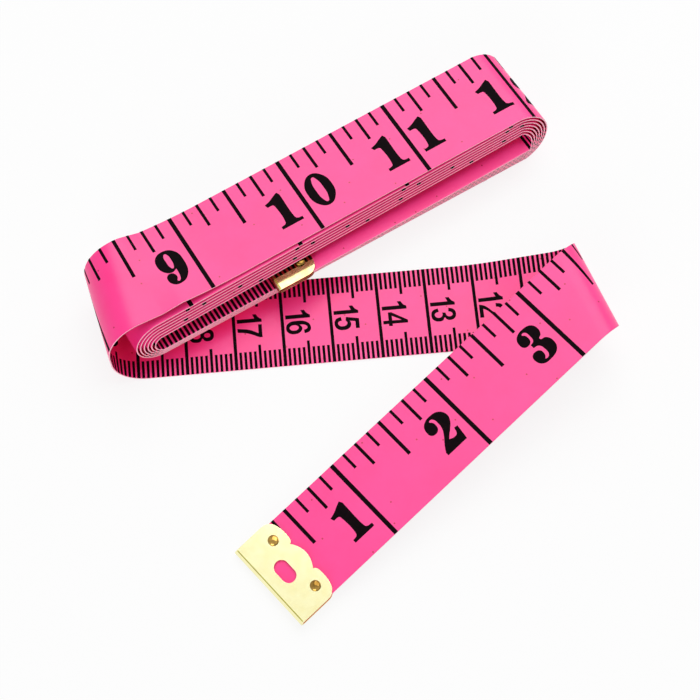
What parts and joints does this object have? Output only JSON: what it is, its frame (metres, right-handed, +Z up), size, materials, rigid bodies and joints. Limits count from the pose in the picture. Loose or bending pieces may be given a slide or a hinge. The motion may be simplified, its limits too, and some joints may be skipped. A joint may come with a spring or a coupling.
{
  "type": "tape measure",
  "caption": "Soft tailor's tape measure, wound flat on itself, with its zero end drawn out, folded over and laid down, and a folded brass clip riveted on each end of the strip.",
  "frame": {"origin": "on the floor, under the middle of the laid-out tape's bounding box", "axes": "+Z up; the run of tape on the floor lies along X, the winding lies behind it towards +Y and the drawn-out zero end in front of it towards -Y"},
  "size_m": [0.1062, 0.1172, 0.0156],
  "materials": {
    "tape": "satin pink vinyl with printed scales",
    "clip": "bright pale brass",
    "rivet": "polished brass"
  },
  "bodies": {
    "run": {"tape_run": "tape"},
    "tail": {"tape_tail": "tape", "start_clip": "clip", "start_rivet_near": "rivet", "start_rivet_far": "rivet"},
    "winding": {"tape_winding": "tape", "end_clip": "clip", "end_rivet_near": "rivet", "end_rivet_far": "rivet"}
  },
  "joints": [
    {"name": "tail_fold", "type": "hinge", "parent": "run", "child": "tail", "pos_m": [0.04985, 0.00418, 0.00817], "axis": [-0.3173, 0.9483, 0], "range_deg": [0, 174]},
    {"name": "unroll", "type": "hinge", "parent": "run", "child": "winding", "pos_m": [-0.05091, 0.00616, 0.00768], "axis": [0.2164, -0.9763, 0], "range_deg": [0, 176]}
  ]
}
